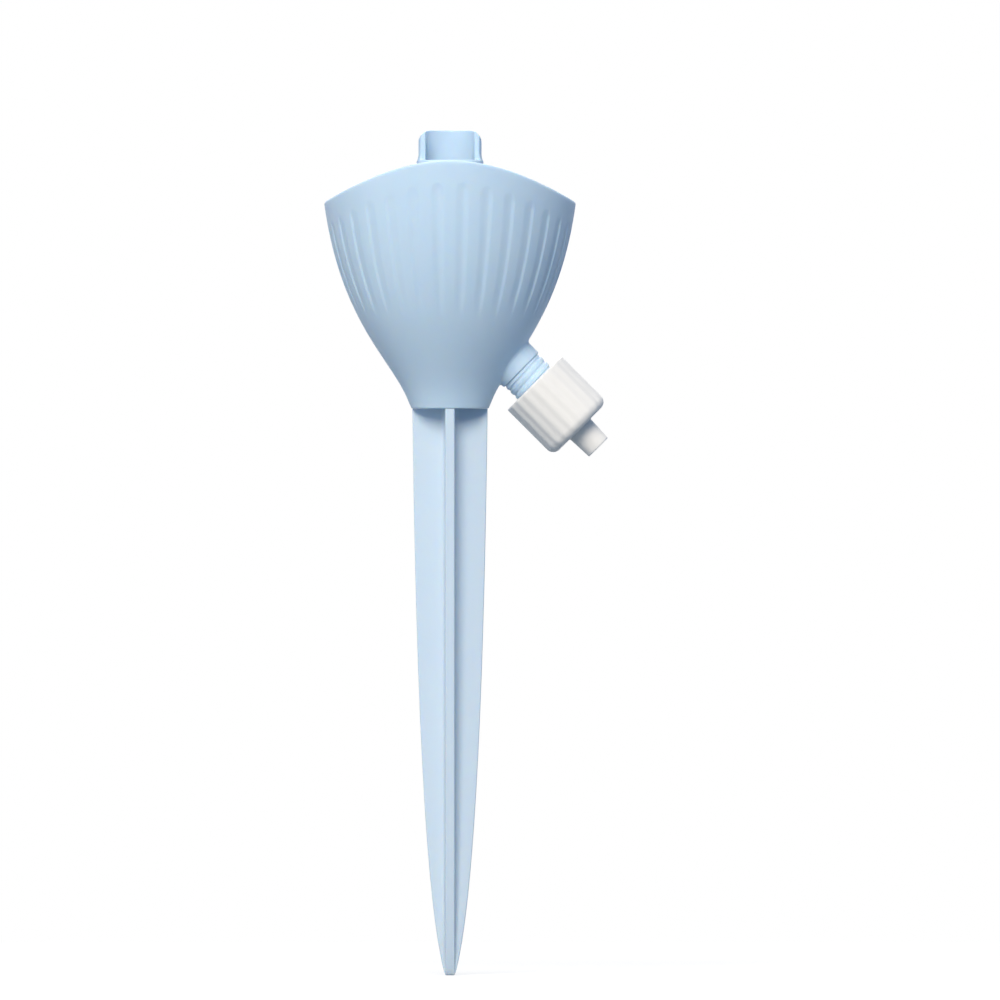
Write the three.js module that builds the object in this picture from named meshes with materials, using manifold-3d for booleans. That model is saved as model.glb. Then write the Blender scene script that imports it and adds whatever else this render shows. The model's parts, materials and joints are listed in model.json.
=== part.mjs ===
// Drip watering spike: a fluted bell cup that takes an upturned bottle, on a crossed-fin spike
// for the soil, with a screw drip valve on its side.
// Millimetres, +Z up. The origin is the tip of the spike, the valve points down and to +X, and
// the riser's window faces -Y.

import * as THREE from 'three';
import { mergeVertices } from 'three/addons/utils/BufferGeometryUtils.js';
import Module from 'manifold-3d';

// Fits
const SEAT_GAP = 0.3; // left between a piece and what it sits on or in

// Ground spike
const SPIKE_LENGTH = 118.4; // tip to the shoulder under the bell
const FIN_THICKNESS = 2.0;
const FIN_TIP_HALF = 1.05; // half width of the blunt tip
const FIN_TOP_HALF = 7.88; // half width at the shoulder
const FIN_TIP_FLARE = { out: 3.65, up: 13.2 }; // handle of the fin's edge at the tip
const FIN_TOP_TUCK = { out: 0.85, up: 67.5 }; // handle of the fin's edge at the shoulder
const FIN_ROOT_FILLET = 0.9;
const PLUG_R = 4.5;
const PLUG_LENGTH = 9.6;
const PLUG_CHAMFER = 0.7;
const PLUG_ROOT = 0.2; // depth of the plug's foot between the fins

// Bell cup
const BELL_FOOT_R = 8.2;
const BELL_RIM_R = 27.2; // at the crest of the rim
const BELL_HEIGHT = 51.7; // foot to the crest of the rim
const BELL_FOOT_FLARE = { out: 2.9, up: 10.3 }; // handle of the bell's outline at the foot
const BELL_RIM_TUCK = { out: 2.0, up: 33.9 }; // handle of the bell's outline at the rim
const BELL_WALL = 1.8;
const BELL_FLOOR = 3.8;
const RIM_CREST_R = 35.5; // the rim is cut along Y by a ridge, with this radius at its crest
const RIM_FLANK_SLOPE = 0.9; // fall of the ridge's flanks far from its crest
const RIM_ROUND = 0.4;
const FLUTE_COUNT = 32;
const FLUTE_SHARE = 0.6; // part of the pitch that a groove takes
const FLUTE_DEPTH = 0.24;
const FLUTE_LEAN = 0.6; // shift of a groove's deepest line toward one edge
const FLUTE_BAND = 4.6; // plain band under the rim
const FLUTE_ROUND = 1.6; // height of a groove's rounded top
const FLUTE_FOOT = 18.3; // height over the foot where the grooves run out
const FLUTE_FADE = 8.0; // height over which they run out
const PLUG_BOSS_WALL = 1.6;
const PLUG_BOSS_ROOF = 1.8;

// Bottle socket, gasket and riser
const NECK_BORE_R = 14.1; // takes a 28 mm bottle neck
const SOCKET_WALL = 1.5;
const SOCKET_FLOOR = 1.8;
const SOCKET_DEPTH = 13.7; // floor to mouth
const SOCKET_CHAMFER = 0.6;
const GASKET_THICKNESS = 2.0;
const GASKET_CHAMFER = 0.3;
const RISER_R = 6.6;
const RISER_WALL = 1.0;
const RISER_OVER_RIM = 6.6; // height of its top over the crest of the rim
const RISER_CORNER = 2.5; // rounding of its top corners
const RISER_FLARE = { out: 0.4, up: 1.8 }; // widening toward its root, from over the rim's crest down
const RISER_FLANGE_R = 8.2;
const RISER_FLANGE = 1.5;
const RISER_TAIL = 1.2; // reach under the socket's floor
const WINDOW_CUT = 2.4; // distance of the window's plane from the riser's axis
const WINDOW_SILL = 0.35; // height of the window's lower edge over the crest of the rim

// Drip valve
const VALVE_TILT = THREE.MathUtils.degToRad(45); // below level
const VALVE_HEIGHT = 23.0; // height over the foot where the valve's axis meets the bell's
const BOSS_R = 5.15;
const BOSS_LENGTH = 2.2; // reach beyond the bell's wall
const STEM_R = 3.3;
const STEM_BORE_R = 2.0;
const O_RING_SECTION = 0.65;
const THREAD_R = 4.8;
const THREAD_LENGTH = 8.8;
const THREAD_CHAMFER = 0.5;
const THREAD_PITCH = 1.5;
const TURNS_TO_SHUT = 2; // from the cap's drawn place to shut
const EXPOSED_THREAD = 3.5;
const MOUTH_R = 2.6;
const MOUTH_DEPTH = 5.0;
const PIN_R = 1.0;
const PIN_TIP_R = 0.5;
const PIN_REACH = 3.4; // reach beyond the spigot's mouth
const PIN_RIBS = 3;
const PIN_RIB_THICKNESS = 0.9;
const WASHER_THICKNESS = 1.4;
const WASHER_BORE_R = 1.9;
const CAP_R = 8.0;
const CAP_RIBS = 20;
const CAP_RIB_DEPTH = 0.15;
const CAP_RIB_TURN = THREE.MathUtils.degToRad(6); // of a rib from the barrel's lowest line
const CAP_END_WALL = 3.3;
const CAP_CORNER = 1.8;
const CAP_CHAMFER = 0.4;
const NOZZLE_ROOT_R = 3.05;
const NOZZLE_TIP_R = 2.8;
const NOZZLE_LENGTH = 5.45;
const NOZZLE_BORE_R = 1.5;

// Facets
const ROUND_FACETS = 32;
const SOCKET_FACETS = 64;
const FIN_STEPS = 14;
const PLAIN_STEPS = 5; // rows of the bell's outside below the grooves
const FLUTE_STEPS = 3; // rows along a groove's full depth
const INNER_STEPS = 4; // rows of each half of the bell's inside
const CORNER_STEPS = 3;
const OVERCUT = 1.0; // how far a cutter runs past the face that it opens

// Heights up the bell's axis
const footZ = SPIKE_LENGTH + SEAT_GAP;
const crestZ = footZ + BELL_HEIGHT;
const bellFloorZ = footZ + BELL_FLOOR;
const plugTopZ = SPIKE_LENGTH + PLUG_LENGTH;
const fluteFootZ = footZ + FLUTE_FOOT;
const valveZ = footZ + VALVE_HEIGHT;
const riserTopZ = crestZ + RISER_OVER_RIM;

const bellOutline = new THREE.CubicBezierCurve(
  new THREE.Vector2(BELL_FOOT_R, footZ),
  new THREE.Vector2(BELL_FOOT_R + BELL_FOOT_FLARE.out, footZ + BELL_FOOT_FLARE.up),
  new THREE.Vector2(BELL_RIM_R - BELL_RIM_TUCK.out, crestZ - BELL_RIM_TUCK.up),
  new THREE.Vector2(BELL_RIM_R, crestZ),
);

// Halves the span between low and high until it holds only the place where test turns false.
function bisect(low, high, test) {
  const halvings = 40;
  for (let i = 0; i < halvings; i += 1) {
    const middle = (low + high) / 2;
    if (test(middle)) low = middle;
    else high = middle;
  }
  return low;
}

function bellRadius(z) {
  return bellOutline.getPoint(bisect(0, 1, (t) => bellOutline.getPoint(t).y < z)).x;
}

function bellInnerRadius(z) {
  return bellRadius(z) - BELL_WALL;
}

// Height of the rim's hyperbolic ridge at a distance from its crest.
function saddleHeight(x) {
  const bend = RIM_CREST_R * RIM_FLANK_SLOPE;
  return crestZ - RIM_FLANK_SLOPE * (Math.hypot(bend, x) - bend);
}

// Height of the bell's outer edge at an angle round its axis.
function rimHeight(angle) {
  return bisect(fluteFootZ, crestZ, (z) => z < saddleHeight(bellRadius(z) * Math.cos(angle)));
}

// Height where the socket's outside comes to rest on the bell's inner wall, and its floor.
const socketR = NECK_BORE_R + SOCKET_WALL;
const socketSeatZ = bisect(bellFloorZ, crestZ, (z) => bellInnerRadius(z) < socketR + SEAT_GAP);
const socketFloorZ = socketSeatZ;
const socketUnderZ = socketSeatZ - SOCKET_FLOOR;
const flangeTopZ = socketFloorZ + RISER_FLANGE;

// Distances along the valve's axis, from the bell's axis outward.
const wallS = bisect(
  0,
  VALVE_HEIGHT / Math.sin(VALVE_TILT),
  (s) => s * Math.cos(VALVE_TILT) < bellRadius(valveZ - s * Math.sin(VALVE_TILT)),
);
const stemEndS = wallS - BELL_WALL;
const bossFaceS = wallS + BOSS_LENGTH;
const shoulderS = bossFaceS + SEAT_GAP;
const mouthS = shoulderS + THREAD_LENGTH;
const pinSeatS = mouthS - MOUTH_DEPTH;
const capRearS = shoulderS + EXPOSED_THREAD;
const washerRearS = mouthS + SEAT_GAP + THREAD_PITCH * TURNS_TO_SHUT;
const washerFrontS = washerRearS + WASHER_THICKNESS;
const capInnerS = washerFrontS + SEAT_GAP;
const capFrontS = capInnerS + CAP_END_WALL;
const nozzleTipS = capFrontS + NOZZLE_LENGTH;
const boreR = STEM_R + SEAT_GAP;
const grooveR = boreR + O_RING_SECTION + SEAT_GAP;
const grooveS = bossFaceS - O_RING_SECTION - SEAT_GAP;
const capBoreR = THREAD_R + SEAT_GAP;

const wasm = await Module();
wasm.setup();

// Joins shared corners and drops the empty triangles on an axis of turning.
function weld(geometry) {
  const bare = geometry.clone();
  bare.deleteAttribute('normal');
  bare.deleteAttribute('uv');
  const merged = mergeVertices(bare);
  const corners = merged.index.array;
  const kept = [];
  for (let i = 0; i < corners.length; i += 3) {
    const [a, b, c] = corners.slice(i, i + 3);
    if (a !== b && b !== c && c !== a) kept.push(a, b, c);
  }
  merged.setIndex(kept);
  return merged;
}

function toSolid(geometry) {
  const welded = weld(geometry);
  const mesh = new wasm.Mesh({
    numProp: 3,
    vertProperties: new Float32Array(welded.attributes.position.array),
    triVerts: new Uint32Array(welded.index.array),
  });
  return new wasm.Manifold(mesh);
}

function toGeometry(solid) {
  const mesh = solid.getMesh();
  const geometry = new THREE.BufferGeometry();
  geometry.setAttribute('position', new THREE.BufferAttribute(mesh.vertProperties, 3));
  geometry.setIndex(new THREE.BufferAttribute(mesh.triVerts, 1));
  return geometry;
}

// Turns a profile of [radius, height] pairs, listed anticlockwise, round the Z axis.
function turned(profile, facets = ROUND_FACETS) {
  const points = profile.map(([radius, height]) => new THREE.Vector2(radius, height));
  return weld(new THREE.LatheGeometry(points, facets).rotateX(Math.PI / 2));
}

// Turned ring: the profile closes on itself and stays clear of the axis.
function turnedRing(profile, facets = ROUND_FACETS) {
  return turned([...profile, profile[0]], facets);
}

function turnedRod(radius, low, high, facets = ROUND_FACETS) {
  return turned([[0, low], [radius, low], [radius, high], [0, high]], facets);
}

// Skins a stack of rings that each run anticlockwise round the Z axis. The first and the last
// ring are level, and each is closed by a fan.
function skinned(rings) {
  const count = rings[0].length;
  const vertices = rings.flat();
  const triangles = [];
  for (let row = 0; row + 1 < rings.length; row += 1) {
    for (let i = 0; i < count; i += 1) {
      const next = (i + 1) % count;
      const [a, b] = [row * count + i, row * count + next];
      triangles.push(a, b, b + count, a, b + count, a + count);
    }
  }
  const last = (rings.length - 1) * count;
  const bottom = vertices.push(new THREE.Vector3(0, 0, rings[0][0].z)) - 1;
  const top = vertices.push(new THREE.Vector3(0, 0, rings[rings.length - 1][0].z)) - 1;
  for (let i = 0; i < count; i += 1) {
    const next = (i + 1) % count;
    triangles.push(bottom, next, i, top, last + i, last + next);
  }
  const geometry = new THREE.BufferGeometry().setFromPoints(vertices);
  geometry.setIndex(triangles);
  return geometry;
}

function onCircle(radius, angle, z) {
  return new THREE.Vector3(radius * Math.cos(angle), radius * Math.sin(angle), z);
}

// Crossed fins with filleted roots, and the round plug on top.
function groundSpike() {
  const edge = new THREE.CubicBezierCurve(
    new THREE.Vector2(FIN_TIP_HALF, 0),
    new THREE.Vector2(FIN_TIP_HALF + FIN_TIP_FLARE.out, FIN_TIP_FLARE.up),
    new THREE.Vector2(FIN_TOP_HALF - FIN_TOP_TUCK.out, SPIKE_LENGTH - FIN_TOP_TUCK.up),
    new THREE.Vector2(FIN_TOP_HALF, SPIKE_LENGTH),
  );
  const half = FIN_THICKNESS / 2;
  const rings = edge.getPoints(FIN_STEPS).map(({ x: reach, y: z }) => {
    const fillet = Math.min(FIN_ROOT_FILLET, (reach - half) / 2);
    const inset = half + fillet * (1 - Math.SQRT1_2);
    const corner = [
      [reach, -half],
      [reach, half],
      [half + fillet, half],
      [inset, inset],
      [half, half + fillet],
    ];
    const quarters = [0, 1, 2, 3].map((turn) => (turn * Math.PI) / 2);
    const axis = new THREE.Vector3(0, 0, 1);
    return quarters.flatMap((angle) =>
      corner.map(([x, y]) => new THREE.Vector3(x, y, z).applyAxisAngle(axis, angle)),
    );
  });
  const plug = turned([
    [0, SPIKE_LENGTH - PLUG_ROOT],
    [PLUG_R, SPIKE_LENGTH - PLUG_ROOT],
    [PLUG_R, plugTopZ - PLUG_CHAMFER],
    [PLUG_R - PLUG_CHAMFER, plugTopZ],
    [0, plugTopZ],
  ]);
  return toGeometry(toSolid(skinned(rings)).add(toSolid(plug)));
}

// The angles of the bell's columns: each groove has its two edges and its deepest line, which leans
// toward the parting plane of the mould's front and back halves.
function fluteColumns() {
  const pitch = (2 * Math.PI) / FLUTE_COUNT;
  const reach = (pitch * FLUTE_SHARE) / 2;
  const columns = [];
  for (let i = 0; i < FLUTE_COUNT; i += 1) {
    const middle = (i + 0.5) * pitch;
    const lean = -FLUTE_LEAN * Math.cos(middle) * Math.sign(Math.sin(middle));
    columns.push({ angle: middle - reach, depth: 0 });
    columns.push({ angle: middle + lean * reach, depth: FLUTE_DEPTH });
    columns.push({ angle: middle + reach, depth: 0 });
  }
  return columns.map((column) => ({ ...column, rim: rimHeight(column.angle) }));
}

// Fluted shell with its saddle rim: up the outside, over the lip and down the inside.
function bellShell() {
  const columns = fluteColumns();
  const { lerp } = THREE.MathUtils;
  const outside = (height, deep) =>
    columns.map((column) => {
      const z = height(column);
      return onCircle(bellRadius(z) - (deep ? column.depth : 0), column.angle, z);
    });
  const inside = (height) =>
    columns.map((column) => {
      const z = height(column);
      return onCircle(bellInnerRadius(z), column.angle, z);
    });
  const lip = (inset) =>
    columns.map(({ angle, rim }) => {
      const radius = bellRadius(rim) - inset;
      return onCircle(radius, angle, saddleHeight(radius * Math.cos(angle)));
    });
  const fluteFull = fluteFootZ + FLUTE_FADE;
  const fluteEnd = ({ rim }) => rim - FLUTE_BAND;
  const rings = [];
  for (let i = 0; i <= PLAIN_STEPS; i += 1) {
    rings.push(outside(() => lerp(footZ, fluteFootZ, i / PLAIN_STEPS), false));
  }
  for (let i = 0; i <= FLUTE_STEPS; i += 1) {
    const height = (column) => lerp(fluteFull, fluteEnd(column) - FLUTE_ROUND, i / FLUTE_STEPS);
    rings.push(outside(height, true));
  }
  rings.push(outside(fluteEnd, false));
  rings.push(outside(({ rim }) => rim - RIM_ROUND, false));
  rings.push(lip(RIM_ROUND));
  rings.push(lip(BELL_WALL - RIM_ROUND));
  const innerRim = ({ angle, rim }) =>
    saddleHeight((bellRadius(rim) - BELL_WALL) * Math.cos(angle)) - RIM_ROUND;
  for (let i = 0; i <= INNER_STEPS; i += 1) {
    rings.push(inside((column) => lerp(innerRim(column), fluteFootZ, i / INNER_STEPS)));
  }
  for (let i = 1; i <= INNER_STEPS; i += 1) {
    rings.push(inside(() => lerp(fluteFootZ, bellFloorZ, i / INNER_STEPS)));
  }
  return skinned(rings);
}

// Space inside the middle of the bell's wall, which trims the valve's boss.
function bellMiddle() {
  const middle = [];
  for (let i = 0; i <= PLAIN_STEPS; i += 1) {
    const z = THREE.MathUtils.lerp(bellFloorZ, fluteFootZ, i / PLAIN_STEPS);
    middle.push([bellRadius(z) - BELL_WALL / 2, z]);
  }
  return turned([[0, bellFloorZ], ...middle, [0, fluteFootZ]], SOCKET_FACETS);
}

function bellCup(valveMatrix) {
  const inValve = (geometry) => toSolid(geometry.applyMatrix4(valveMatrix));
  const plugBore = turnedRod(PLUG_R + SEAT_GAP, footZ - OVERCUT, plugTopZ + SEAT_GAP);
  const plugBoss = turnedRod(
    PLUG_R + SEAT_GAP + PLUG_BOSS_WALL,
    bellFloorZ - OVERCUT,
    plugTopZ + SEAT_GAP + PLUG_BOSS_ROOF,
  );
  const valveBoss = inValve(turnedRod(BOSS_R, stemEndS - BELL_WALL, bossFaceS));
  const valveBore = inValve(
    turned([
      [0, stemEndS - 2 * BELL_WALL],
      [boreR, stemEndS - 2 * BELL_WALL],
      [boreR, grooveS],
      [grooveR, grooveS],
      [grooveR, bossFaceS + OVERCUT],
      [0, bossFaceS + OVERCUT],
    ]),
  );
  const cup = toSolid(bellShell())
    .add(toSolid(plugBoss))
    .add(valveBoss.subtract(toSolid(bellMiddle())))
    .subtract(toSolid(plugBore))
    .subtract(valveBore);
  return toGeometry(cup);
}

// Sleeve for the bottle's neck. Its coned floor rests on the bell's inner wall.
function bottleSocket() {
  const mouthZ = socketFloorZ + SOCKET_DEPTH;
  const holeR = RISER_R + SEAT_GAP;
  return turnedRing(
    [
      [holeR, socketUnderZ],
      [bellInnerRadius(socketUnderZ) - SEAT_GAP, socketUnderZ],
      [socketR, socketSeatZ],
      [socketR, mouthZ],
      [NECK_BORE_R + SOCKET_CHAMFER, mouthZ],
      [NECK_BORE_R, mouthZ - SOCKET_CHAMFER],
      [NECK_BORE_R, socketFloorZ],
      [holeR, socketFloorZ],
    ],
    SOCKET_FACETS,
  );
}

function bottleGasket() {
  const innerR = RISER_FLANGE_R + SEAT_GAP;
  const outerR = NECK_BORE_R - SEAT_GAP;
  const topZ = socketFloorZ + GASKET_THICKNESS;
  return turnedRing(
    [
      [innerR, socketFloorZ],
      [outerR, socketFloorZ],
      [outerR, topZ - GASKET_CHAMFER],
      [outerR - GASKET_CHAMFER, topZ],
      [innerR + GASKET_CHAMFER, topZ],
      [innerR, topZ - GASKET_CHAMFER],
    ],
    SOCKET_FACETS,
  );
}

// Front view of the riser, which rounds its top corners.
function riserFront() {
  const front = new THREE.Shape();
  const cornerX = RISER_R - RISER_CORNER;
  const cornerZ = riserTopZ - RISER_CORNER;
  front.moveTo(-RISER_FLANGE_R, socketUnderZ - RISER_TAIL);
  front.lineTo(RISER_FLANGE_R, socketUnderZ - RISER_TAIL);
  front.lineTo(RISER_FLANGE_R, cornerZ);
  front.absarc(cornerX, cornerZ, RISER_CORNER, 0, Math.PI / 2, false);
  front.absarc(-cornerX, cornerZ, RISER_CORNER, Math.PI / 2, Math.PI, false);
  front.lineTo(-RISER_FLANGE_R, cornerZ);
  return front;
}

// Tube on a flange, open to the front from its sill up.
function intakeRiser() {
  const rootR = RISER_R + RISER_FLARE.out;
  const flare = new THREE.QuadraticBezierCurve(
    new THREE.Vector2(rootR, crestZ),
    new THREE.Vector2(RISER_R, crestZ + RISER_FLARE.up / 2),
    new THREE.Vector2(RISER_R, crestZ + RISER_FLARE.up),
  );
  const tube = turnedRing([
    [RISER_R - RISER_WALL, socketUnderZ - RISER_TAIL],
    [RISER_R, socketUnderZ - RISER_TAIL],
    [RISER_R, socketFloorZ],
    [RISER_FLANGE_R, socketFloorZ],
    [RISER_FLANGE_R, flangeTopZ],
    [rootR, flangeTopZ],
    ...flare.getPoints(CORNER_STEPS).map(({ x, y }) => [x, y]),
    [RISER_R, riserTopZ],
    [RISER_R - RISER_WALL, riserTopZ],
  ]);
  const depth = 2 * RISER_FLANGE_R;
  const front = new THREE.ExtrudeGeometry(riserFront(), {
    depth,
    bevelEnabled: false,
    curveSegments: CORNER_STEPS,
  });
  front.translate(0, 0, -depth / 2).rotateX(Math.PI / 2);
  const sillZ = crestZ + WINDOW_SILL;
  const windowHeight = riserTopZ + OVERCUT - sillZ;
  const windowDepth = RISER_FLANGE_R - WINDOW_CUT;
  const window = new THREE.BoxGeometry(depth, windowDepth, windowHeight);
  window.translate(0, -WINDOW_CUT - windowDepth / 2, sillZ + windowHeight / 2);
  return toGeometry(toSolid(tube).intersect(toSolid(front)).subtract(toSolid(window)));
}

// Nipple: a stem in the bell's boss, a shoulder and the threaded barrel, with a stepped bore.
function dripSpigot() {
  return turnedRing([
    [STEM_BORE_R, stemEndS],
    [STEM_R, stemEndS],
    [STEM_R, shoulderS],
    [THREAD_R, shoulderS],
    [THREAD_R, mouthS - THREAD_CHAMFER],
    [THREAD_R - THREAD_CHAMFER, mouthS],
    [MOUTH_R, mouthS],
    [MOUTH_R, pinSeatS],
    [STEM_BORE_R, pinSeatS],
  ]);
}

function spigotORing() {
  const sectionFacets = 8;
  const section = O_RING_SECTION / 2;
  const ring = new THREE.TorusGeometry(boreR + section, section, sectionFacets, ROUND_FACETS);
  return weld(ring.translate(0, 0, grooveS + SEAT_GAP + section));
}

// Tapered needle on ribs that stand in the spigot's mouth.
function meteringPin() {
  const footS = pinSeatS + SEAT_GAP;
  const needle = turned([
    [0, footS],
    [PIN_R, footS],
    [PIN_R, mouthS],
    [PIN_TIP_R, mouthS + PIN_REACH],
    [0, mouthS + PIN_REACH],
  ]);
  const ribLength = mouthS - SEAT_GAP - footS;
  const ribReach = MOUTH_R - SEAT_GAP;
  let pin = toSolid(needle);
  for (let i = 0; i < PIN_RIBS; i += 1) {
    const rib = new THREE.BoxGeometry(ribReach, PIN_RIB_THICKNESS, ribLength);
    rib.translate(ribReach / 2, 0, footS + ribLength / 2);
    pin = pin.add(toSolid(rib.rotateZ((i * 2 * Math.PI) / PIN_RIBS)));
  }
  return toGeometry(pin);
}

function seatWasher() {
  const outerR = capBoreR - SEAT_GAP;
  return turnedRing([
    [WASHER_BORE_R, washerRearS],
    [outerR, washerRearS],
    [outerR, washerFrontS],
    [WASHER_BORE_R, washerFrontS],
  ]);
}

// Ribbed barrel of the cap, solid, with its rounded front corner.
function ribbedBarrel() {
  const columnsPerRib = 4;
  const dips = [0, 0.25, 1, 0.25]; // share of the rib's depth at each of its columns
  const columns = CAP_RIBS * columnsPerRib;
  const ring = (radius, s, share) =>
    Array.from({ length: columns }, (_, i) => {
      const dip = dips[i % columnsPerRib] * CAP_RIB_DEPTH * share;
      return onCircle(radius - dip, CAP_RIB_TURN + (i * 2 * Math.PI) / columns, s);
    });
  const rings = [
    ring(CAP_R - CAP_CHAMFER, capRearS, 1),
    ring(CAP_R, capRearS + CAP_CHAMFER, 1),
  ];
  for (let i = 0; i <= CORNER_STEPS; i += 1) {
    const turn = (i / CORNER_STEPS) * (Math.PI / 2);
    const radius = CAP_R - CAP_CORNER * (1 - Math.cos(turn));
    rings.push(ring(radius, capFrontS - CAP_CORNER * (1 - Math.sin(turn)), Math.cos(turn)));
  }
  return skinned(rings);
}

// Cap: ribbed barrel and drip nozzle, bored for the spigot, the washer and the drip.
function dripCap() {
  const nozzle = turned([
    [0, capInnerS],
    [NOZZLE_ROOT_R, capInnerS],
    [NOZZLE_ROOT_R, capFrontS],
    [NOZZLE_TIP_R, nozzleTipS],
    [0, nozzleTipS],
  ]);
  const bore = turned([
    [0, capRearS - OVERCUT],
    [capBoreR + CAP_CHAMFER + OVERCUT, capRearS - OVERCUT],
    [capBoreR, capRearS + CAP_CHAMFER],
    [capBoreR, capInnerS],
    [NOZZLE_BORE_R, capInnerS],
    [NOZZLE_BORE_R, nozzleTipS + OVERCUT],
    [0, nozzleTipS + OVERCUT],
  ]);
  return toGeometry(toSolid(ribbedBarrel()).add(toSolid(nozzle)).subtract(toSolid(bore)));
}

const bluePlastic = new THREE.MeshStandardMaterial({ color: 0xb7d0e6, roughness: 0.5, metalness: 0 });
const whitePlastic = new THREE.MeshStandardMaterial({ color: 0xececec, roughness: 0.5, metalness: 0 });
const silicone = new THREE.MeshStandardMaterial({ color: 0xd8dad8, roughness: 0.7, metalness: 0 });

function piece(name, geometry, material) {
  geometry.computeVertexNormals();
  const mesh = new THREE.Mesh(geometry, material);
  mesh.name = name;
  return mesh;
}

// Pieces on the valve's axis stand in a group whose +Z runs out along it.
const valve = new THREE.Group();
valve.position.z = valveZ;
valve.rotation.y = Math.PI / 2 + VALVE_TILT;
valve.updateMatrix();
valve.add(
  piece('drip_spigot', dripSpigot(), bluePlastic),
  piece('spigot_o_ring', spigotORing(), silicone),
  piece('metering_pin', meteringPin(), whitePlastic),
  piece('seat_washer', seatWasher(), silicone),
  piece('drip_cap', dripCap(), whitePlastic),
);

const wateringSpike = new THREE.Group();
wateringSpike.add(
  piece('ground_spike', groundSpike(), bluePlastic),
  piece('bell_cup', bellCup(valve.matrix), bluePlastic),
  piece('bottle_socket', bottleSocket(), bluePlastic),
  piece('bottle_gasket', bottleGasket(), silicone),
  piece('intake_riser', intakeRiser(), bluePlastic),
  valve,
);

export default wateringSpike;
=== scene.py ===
"""Looks of the drip watering spike: every solid of the frame gets its moulded form, with flutes, threads
and rounded edges, and a procedural finish. Sizes are in millimetres, and meshes are made in metres."""

import json
import math

import bpy
import numpy as np
from mathutils import Matrix, Vector


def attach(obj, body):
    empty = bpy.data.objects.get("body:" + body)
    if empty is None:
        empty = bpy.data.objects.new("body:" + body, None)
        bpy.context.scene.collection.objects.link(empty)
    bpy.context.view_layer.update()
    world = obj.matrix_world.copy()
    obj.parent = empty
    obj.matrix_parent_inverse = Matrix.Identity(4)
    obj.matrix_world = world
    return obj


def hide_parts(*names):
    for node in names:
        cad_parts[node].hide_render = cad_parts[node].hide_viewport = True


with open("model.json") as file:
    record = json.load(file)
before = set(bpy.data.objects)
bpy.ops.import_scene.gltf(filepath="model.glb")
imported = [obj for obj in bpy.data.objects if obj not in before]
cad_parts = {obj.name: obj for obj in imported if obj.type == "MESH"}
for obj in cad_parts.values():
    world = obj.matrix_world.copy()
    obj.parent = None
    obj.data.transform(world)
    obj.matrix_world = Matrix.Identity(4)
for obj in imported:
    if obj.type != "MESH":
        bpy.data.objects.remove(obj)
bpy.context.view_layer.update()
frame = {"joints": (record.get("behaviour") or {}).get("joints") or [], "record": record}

MM = 0.001
FULL_TURN = 2 * math.pi
SEAT_GAP = 0.3  # between pieces that seat on each other
SEEN_GAP = 0.03  # what is left of a seat gap where it would show
TIGHT_GAP = 0.005  # between the boss and the spigot's shoulder
OVERCUT = 1.0  # how far a cutting or joining form runs past the wall that it works on
SAME = 1e-6  # radii that differ by less are the same
CREASE = math.radians(35)  # edges that turn by more stay sharp

# Ground spike. The fins' edge is one cubic curve, with handles at (distance from the axis, height)
SPIKE_LENGTH = 118.4
FIN_HALF = 1.0
FIN_EDGE = [(1.05, 0.0), (4.7, 13.2), (7.03, 50.9), (7.88, SPIKE_LENGTH)]
FIN_EDGE_ROUND = 0.3
FIN_EDGE_SHARE = 0.4  # the most of a fin's free reach that its rounded edge takes
FIN_ROOT_FILLET = 1.0
FIN_FILLET_SHARE = 0.9  # the most of what is left that the fillet at its root takes
TIP_ROUND = 0.35
PLUG_R = 4.5
PLUG_LENGTH = 9.6
PLUG_TOP_Z = SPIKE_LENGTH + PLUG_LENGTH
PLUG_EDGE_ROUND = 0.7

# Bell cup. Its outline is one cubic curve, with handles at (radius, height)
BELL_HEIGHT = 51.7
FOOT_Z = SPIKE_LENGTH + SEAT_GAP
CREST_Z = FOOT_Z + BELL_HEIGHT
FOOT_R = 8.2
FOOT_ROUND = 0.35
BELL_OUTLINE = [(FOOT_R, FOOT_Z), (11.1, FOOT_Z + 10.3), (25.2, CREST_Z - 33.9), (27.2, CREST_Z)]
BELL_WALL = 1.8
BELL_FLOOR = 3.8
BELL_FLOOR_Z = FOOT_Z + BELL_FLOOR
PLUG_BOSS_WALL = 1.6
PLUG_BOSS_COVER = 1.8
PLUG_BOSS_ROUND = 0.4
RIM_CREST_R = 35.5  # of the saddle's curve at its crest
RIM_FLANK_SLOPE = 0.9
LIP_ROUND = 0.4
FLUTE_COUNT = 32
FLUTE_SHARE = 0.62  # of each pitch that the groove takes
FLUTE_DEPTH = 0.2
FLUTE_LEAN = 0.6  # the most that a groove's deepest line lies off its middle, in half widths
FLUTE_BAND = 4.1  # left plain under the rim
FLUTE_ROUND = 2.4
FLUTE_RISE = 18.3
FLUTE_FOOT_Z = FOOT_Z + FLUTE_RISE
FLUTE_FADE = 6.0  # height over which a groove comes to its depth

# Bottle socket and gasket. A thread's crest and root are half its ridge's width at top and foot, in pitches
NECK_BORE_R = 14.1
SOCKET_WALL = 1.5
SOCKET_R = NECK_BORE_R + SOCKET_WALL
SOCKET_FLOOR = 1.8
SOCKET_DEPTH = 13.7
SOCKET_ROUND = 0.4
SOCKET_UNDER_ROUND = 0.3
SOCKET_HOLE_ROUND = 0.2
SOCKET_MOUTH_ROUND = 0.6
NECK_PITCH = 2.7
NECK_THREAD = 0.8
NECK_CREST = 0.1
NECK_ROOT = 0.36
NECK_THREAD_FOOT = 3.0
NECK_THREAD_TOP = 0.8
GASKET_THICKNESS = 2.0
GASKET_UNDER_ROUND = 0.2
GASKET_TOP_ROUND = 0.35

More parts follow.
